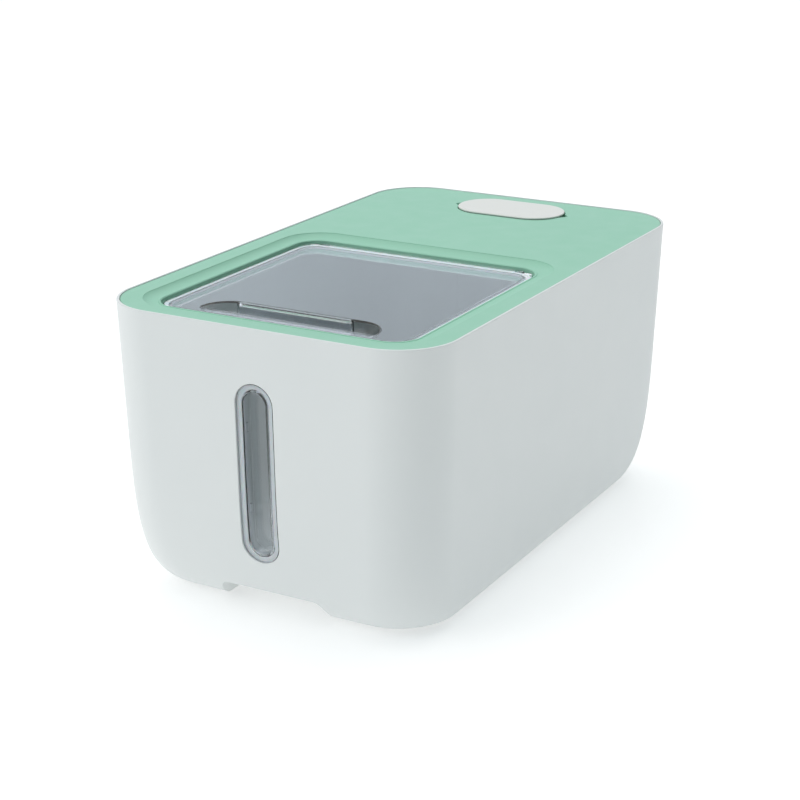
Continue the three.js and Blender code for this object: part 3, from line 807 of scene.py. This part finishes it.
def dish_levels(distance, floor, top, flare):
    """Outlines of the finger dish: a rounded floor, sloping sides and a softened rim."""
    depth = top - floor
    levels = []
    steps = 14
    for i in range(steps + 1):
        t = i / steps
        slope_x = 7.0 * (1 - t)
        slope_y = 2.0 * (1 - t)
        round_in = 2.4 * (1 - min(t / 0.35, 1)) ** 2
        rim = -flare * max((t - 0.86) / 0.14, 0) ** 2
        pulled = distance + round_in + rim
        levels.append(outline(form(
            DISH_TOP["half"] - slope_x - pulled,
            DISH_TOP["front"] + distance + round_in,
            DISH_TOP["back"] - slope_y - pulled,
            DISH_TOP["radius"] - slope_y - pulled,
            max(DISH_TOP["front_radius"] - distance, 0.5),
        ), floor + depth * t))
    return levels


def lid_boss(side):
    """Corner boss of the lid that holds a hinge pin."""
    x0, x1 = sorted((side * LID_BOSS_FROM, side * NOTCH_FROM))
    return block("boss", x0, x1, HINGE_Y - 1.7, HINGE_Y + 1.6, HINGE_Z - LID_WALL, LID_TOP - 0.5)


def corner_block(side, start, front):
    """Block over a rear corner of the lid, which lets that corner swing past the cover's neck."""
    x0, x1 = sorted((side * start, side * 100))
    return block("corner", x0, x1, front, HINGE_Y + 10, DISH_Z, HEIGHT)


def make_gasket():
    """White ring under the plate's edge, drawn in at the rear corners in front of the pins."""
    low, high = GASKET_LOW.z, GASKET_HIGH.z
    edge = 0.3
    levels = [
        outline(inset(GASKET, edge), low), outline(GASKET, low + edge),
        outline(GASKET, high - edge), outline(inset(GASKET, edge), high),
        outline(inset(GASKET_HOLE, -edge), high), outline(GASKET_HOLE, high - edge),
        outline(GASKET_HOLE, low + edge), outline(inset(GASKET_HOLE, -edge), low),
    ]
    corners = [corner_block(side, GASKET_NOTCH_FROM, GASKET_NOTCH_FRONT) for side in SIDES]
    return cut(loft("gasket", levels, ring=True), *corners)


# ------------------------------------------------------------------ desiccant parts


def make_cap():
    """Flat pad with a rounded top edge and a shallow recess that grips the basket's collar."""
    edge = cap_form(CAP_HALF_X, CAP_HALF_Y)
    crown = arc(0.7, CAP_TOP - 0.7, 0.7, 180, 90, 7)
    pad = loft("cap_pad", stack(edge, [(0.2, CAP_BOTTOM), (0, CAP_BOTTOM + 0.2)] + crown))
    half_x = BASKET_HIGH.x - FLANGE_WIDTH + GAP
    half_y = BASKET_HIGH.y - CAP_MIDDLE - FLANGE_WIDTH + GAP
    return cut(pad, prism("recess", cap_form(half_x, half_y), CAP_BOTTOM - 1, CAP_RECESS_TOP))


def make_basket():
    half_x = BASKET_HIGH.x - FLANGE_WIDTH
    half_y = BASKET_HIGH.y - CAP_MIDDLE - FLANGE_WIDTH
    outer = cap_form(half_x, half_y)
    low, high = BASKET_LOW.z, BASKET_HIGH.z
    body_section = arc(BASKET_ROUND, low + BASKET_ROUND, BASKET_ROUND, 270, 180) + [(0, high)]
    body = loft("basket", stack(outer, body_section))
    flange_section = [(0.3, FLANGE_LOW), (0, FLANGE_LOW + 0.3), (0, FLANGE_HIGH - 0.3), (0.3, FLANGE_HIGH)]
    flange = loft("flange", stack(inset(outer, -FLANGE_WIDTH), flange_section))
    hollow = prism("hollow", inset(outer, BASKET_WALL), low + BASKET_WALL, high + 1)
    basket = cut(join(body, flange), hollow)
    for i in range(-SLOTS_EACH_SIDE, SLOTS_EACH_SIDE + 1):
        x = i * SLOT_PITCH
        side = [(x + px, z) for px, z in slot_profile(SLOT_HALF, low + 4, low + 18)]
        basket = cut(basket, along_y("slot", side, CAP_MIDDLE - 30, CAP_MIDDLE + 30))
        under = [[(x + px, y, z) for px, y in slot_profile(SLOT_HALF, CAP_MIDDLE - 9, CAP_MIDDLE + 9)]
                 for z in (low - 1, low + 3)]
        basket = cut(basket, loft("slot", under))
    return basket


def slot_profile(half, low, high, steps=6):
    """A slot with half-round ends."""
    points = []
    for centre, start in ((high - half, 0), (low + half, 180)):
        for i in range(steps + 1):
            angle = math.radians(start + 180 * i / steps)
            points.append((half * math.cos(angle), centre + half * math.sin(angle)))
    return points


def make_basket_seal():
    low, high = cad_mm("basket_seal")
    outer = cap_form(high.x, high.y - CAP_MIDDLE)
    return ring_prism("basket_ring", outer, inset(outer, BASKET_SEAL_WIDTH), low.z, high.z, 0.35)


def make_sachet():
    """Soft filled bag with a flat sealed edge."""
    low, high = cad_mm("desiccant_sachet")
    middle = (low.z + high.z) / 2
    edge = form(high.x, low.y, high.y, 3)
    rise = high.z - middle
    section = [(9, -rise), (6.5, -rise * 0.96), (4.4, -rise * 0.8)]
    section += [(3.2, -rise * 0.5), (2.8, -0.25), (0, -0.2)]
    levels = section + [(distance, -offset) for distance, offset in reversed(section)]
    return loft("sachet", [outline(inset(edge, d), middle + dz, 6) for d, dz in levels])


# ------------------------------------------------------------------ the object

settle(make_tub(), "tub", "shell", WHITE, "bin_shell")
settle(make_lens(), "tub", "clear", CLEAR, "window_lens")
settle(make_window_seal(), "tub", "silicone", SILICONE, "window_seal")
for number in (1, 2, 3, 4):
    settle(make_foot_pad(number), "tub", "foot_pad", RUBBER, f"foot_pad_{number}")
settle(make_cover(), "cover_part", "cover", MINT, "cover")
settle(make_cover_seal(), "cover_part", "silicone", SILICONE, "cover_seal")
settle(make_lid(), "lid", "clear", CLEAR, "clear_lid")
settle(make_gasket(), "lid", "silicone", SILICONE, "lid_gasket")
for side, end in ((-1, "left"), (1, "right")):
    pin = pin_solid(f"pin_{end}", side, PIN_RADIUS, chamfer=0.2)
    settle(pin, "lid", "pin", STEEL, f"hinge_pin_{end}")
settle(make_cap(), "cap", "cap", PAD_WHITE, "desiccant_cap")
settle(make_basket(), "basket", "basket", BASKET_WHITE, "desiccant_basket")
settle(make_basket_seal(), "basket", "silicone", SILICONE, "basket_seal")
sachet = settle(make_sachet(), "basket", "sachet", PAPER, "desiccant_sachet")


# ------------------------------------------------------------------ floor, light and camera


def make_floor():
    floor = mesh_object("floor", [(-4000, -4000, 0), (4000, -4000, 0), (4000, 4000, 0), (-4000, 4000, 0)],
                        [(0, 1, 2, 3)])
    material, _, _, shader = new_material("white floor")
    socket_set(shader, {"Base Color": (0.9, 0.9, 0.9, 1), "Roughness": 0.9, "Specular IOR Level": 0.1,
                        "Emission Color": (1, 1, 1, 1), "Emission Strength": 0.33})
    floor.data.materials.append(material)


def area_light(name, location, target, size, power, colour):
    light = bpy.data.lights.new(name, "AREA")
    light.shape = "RECTANGLE"
    light.size, light.size_y = size
    light.energy = power
    light.color = colour
    lamp = bpy.data.objects.new(name, light)
    bpy.context.scene.collection.objects.link(lamp)
    lamp.location = location
    lamp.rotation_euler = (Vector(target) - Vector(location)).to_track_quat("-Z", "Y").to_euler()


HORIZON_LIGHT = 0.42
ZENITH_LIGHT = 1.25
DIM_SIDE = (0.86, -0.5, 0.1)
DIM_LIGHT = 0.12
DIM_TINT = (0.76, 0.95, 1, 1)

# Name, place, aim, size, power in watts and colour of each soft lamp, in metres.
LAMPS = (
    ("front left", (-1.6, -2.2, 1.6), (0, 0, 0.1), (1.6, 1.6), 9.8, (1, 1, 1)),
    ("overhead", (-0.2, 0.4, 2.4), (0, 0, 0), (2.0, 2.0), 10, (1, 1, 1)),
    ("behind", (-1.2, 2.1, 0.9), (0, 0, 0.2), (1.8, 1.0), 2.7, (0.66, 0.84, 1)),
)


def map_range(nodes, links, source, from_low, from_high, to_low, to_high):
    ramp = nodes.new("ShaderNodeMapRange")
    ramp.interpolation_type = "SMOOTHSTEP"
    ramp.inputs["From Min"].default_value = from_low
    ramp.inputs["From Max"].default_value = from_high
    ramp.inputs["To Min"].default_value = to_low
    ramp.inputs["To Max"].default_value = to_high
    links.new(source, ramp.inputs["Value"])
    return ramp.outputs["Result"]


def make_light():
    """A white room, brighter overhead and dimmer and bluer on the front right, with soft lamps."""
    world = bpy.data.worlds.new("studio")
    world.use_nodes = True
    nodes, links = world.node_tree.nodes, world.node_tree.links
    background = nodes["Background"]
    coords = nodes.new("ShaderNodeTexCoord")
    parts = nodes.new("ShaderNodeSeparateXYZ")
    links.new(coords.outputs["Generated"], parts.inputs["Vector"])
    toward = nodes.new("ShaderNodeVectorMath")
    toward.operation = "DOT_PRODUCT"
    toward.inputs[1].default_value = DIM_SIDE
    links.new(coords.outputs["Generated"], toward.inputs[0])
    height_light = map_range(nodes, links, parts.outputs["Z"], 0.2, 1, HORIZON_LIGHT, ZENITH_LIGHT)
    side_light = map_range(nodes, links, toward.outputs["Value"], 0.1, 0.95, 1, DIM_LIGHT)
    blue = map_range(nodes, links, toward.outputs["Value"], 0, 0.8, 0, 1)
    product = nodes.new("ShaderNodeMath")
    product.operation = "MULTIPLY"
    links.new(height_light, product.inputs[0])
    links.new(side_light, product.inputs[1])
    links.new(product.outputs["Value"], background.inputs["Strength"])
    tint = nodes.new("ShaderNodeMix")
    tint.data_type = "RGBA"
    tint.inputs["A"].default_value = (1, 1, 1, 1)
    tint.inputs["B"].default_value = DIM_TINT
    links.new(blue, tint.inputs["Factor"])
    links.new(tint.outputs["Result"], background.inputs["Color"])
    bpy.context.scene.world = world
    for name, location, target, size, power, colour in LAMPS:
        area_light(name, location, target, size, power, colour)


CAMERA_AZIMUTH = 28.93
CAMERA_PITCH = 18.90
CAMERA_DISTANCE = 1352.9
AIM_OFFSET = (-5.2, -5.5, -6.7)
SENSOR = 36
FOCAL_PIXELS = 1878.5
PICTURE_WIDTH = 800


def make_camera():
    data = bpy.data.cameras.new("camera")
    data.sensor_width = SENSOR
    data.lens = FOCAL_PIXELS / PICTURE_WIDTH * SENSOR
    camera = bpy.data.objects.new("camera", data)
    bpy.context.scene.collection.objects.link(camera)
    azimuth, pitch = math.radians(CAMERA_AZIMUTH), math.radians(CAMERA_PITCH)
    level = math.cos(pitch)
    forward = Vector((-math.sin(azimuth) * level, math.cos(azimuth) * level, -math.sin(pitch)))
    aim = Vector((0, 0, HEIGHT / 2)) + Vector(AIM_OFFSET)
    camera.location = (aim - forward * CAMERA_DISTANCE) * MM
    camera.rotation_euler = (math.pi / 2 - pitch, 0, azimuth)
    bpy.context.scene.camera = camera


make_floor()
make_light()
make_camera()
bpy.context.scene.view_settings.view_transform = "Standard"
